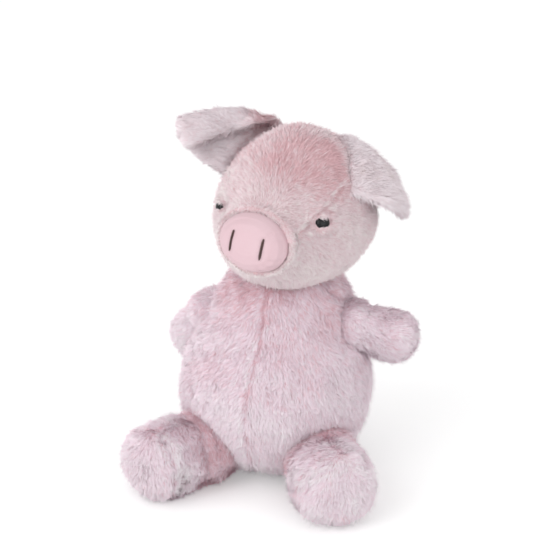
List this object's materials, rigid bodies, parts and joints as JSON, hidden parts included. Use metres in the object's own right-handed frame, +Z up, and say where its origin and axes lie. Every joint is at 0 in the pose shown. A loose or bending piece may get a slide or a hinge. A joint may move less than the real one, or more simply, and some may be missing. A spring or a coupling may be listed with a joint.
{
  "type": "plush pig",
  "caption": "Seated plush pig with sewn covers round soft fillings, a weighted seat, button eyes, folded ears, and a head, limbs, ears and tail that swing in their seams.",
  "frame": {"origin": "middle of the flat seat under the body, on the surface that the pig sits on", "axes": "+Z up, the pig faces -Y, its own left side is +X"},
  "size_m": [0.2112, 0.2134, 0.2882],
  "materials": {
    "pink_plush": "dusty pink long-pile plush, matt with a soft sheen",
    "pale_plush": "paler greyish pink long-pile plush",
    "snout_velour": "smooth salmon pink short-pile velour",
    "stuffing": "white polyester fibre filling",
    "pellet_cloth": "plain cloth bag of plastic pellets",
    "embroidery_thread": "dark brown satin stitch",
    "eye_plastic": "glossy black",
    "washer_plastic": "plain white"
  },
  "bodies": {
    "body": {"body_cover": "pink_plush", "body_stuffing": "stuffing", "pellet_bag": "pellet_cloth"},
    "head": {"head_cover": "pink_plush", "head_stuffing": "stuffing", "snout_pad": "snout_velour", "nostril_stitch_left": "embroidery_thread", "nostril_stitch_right": "embroidery_thread", "eye_left": "eye_plastic", "eye_right": "eye_plastic", "eye_washer_left": "washer_plastic", "eye_washer_right": "washer_plastic"},
    "arm_left": {"arm_cover_left": "pink_plush", "arm_stuffing_left": "stuffing"},
    "arm_right": {"arm_cover_right": "pink_plush", "arm_stuffing_right": "stuffing"},
    "leg_left": {"leg_cover_left": "pink_plush", "sole_panel_left": "pink_plush", "leg_stuffing_left": "stuffing"},
    "leg_right": {"leg_cover_right": "pink_plush", "sole_panel_right": "pink_plush", "leg_stuffing_right": "stuffing"},
    "ear_left": {"ear_left_front": "pale_plush", "ear_left_back": "pale_plush"},
    "ear_right": {"ear_right_front": "pale_plush", "ear_right_back": "pale_plush"},
    "tail": {"tail": "pink_plush"}
  },
  "joints": [
    {"name": "head_nod", "type": "hinge", "parent": "body", "child": "head", "pos_m": [0.004, 0.012, 0.127], "axis": [0.9914, -0.1305, 0], "range_deg": [-12, 12], "stiffness_Nm_per_rad": 0.5},
    {"name": "arm_left_raise", "type": "hinge", "parent": "body", "child": "arm_left", "pos_m": [0.06216, 0.00773, 0.125], "axis": [0, -1, 0], "range_deg": [0, 60], "stiffness_Nm_per_rad": 0.15},
    {"name": "arm_right_raise", "type": "hinge", "parent": "body", "child": "arm_right", "pos_m": [-0.05572, 0.00687, 0.12], "axis": [0, 1, 0], "range_deg": [0, 65], "stiffness_Nm_per_rad": 0.15},
    {"name": "leg_left_raise", "type": "hinge", "parent": "body", "child": "leg_left", "pos_m": [0.05482, -0.046, 0.02927], "axis": [-0.866, -0.5, 0], "range_deg": [-15, 15], "stiffness_Nm_per_rad": 0.3},
    {"name": "leg_right_raise", "type": "hinge", "parent": "body", "child": "leg_right", "pos_m": [-0.04266, -0.05661, 0.02927], "axis": [-0.7986, 0.6018, 0], "range_deg": [-15, 15], "stiffness_Nm_per_rad": 0.3},
    {"name": "ear_left_raise", "type": "hinge", "parent": "head", "child": "ear_left", "pos_m": [0.05029, 0.02276, 0.25601], "axis": [0.4168, -0.768, -0.4862], "range_deg": [0, 20], "stiffness_Nm_per_rad": 0.05},
    {"name": "ear_right_raise", "type": "hinge", "parent": "head", "child": "ear_right", "pos_m": [-0.0295, 0.03326, 0.25601], "axis": [0.6014, 0.634, 0.4862], "range_deg": [-20, 15], "stiffness_Nm_per_rad": 0.05},
    {"name": "tail_wag", "type": "hinge", "parent": "body", "child": "tail", "pos_m": [0, 0.07441, 0.052], "axis": [1, 0, 0], "range_deg": [-20, 20], "stiffness_Nm_per_rad": 0.01}
  ]
}
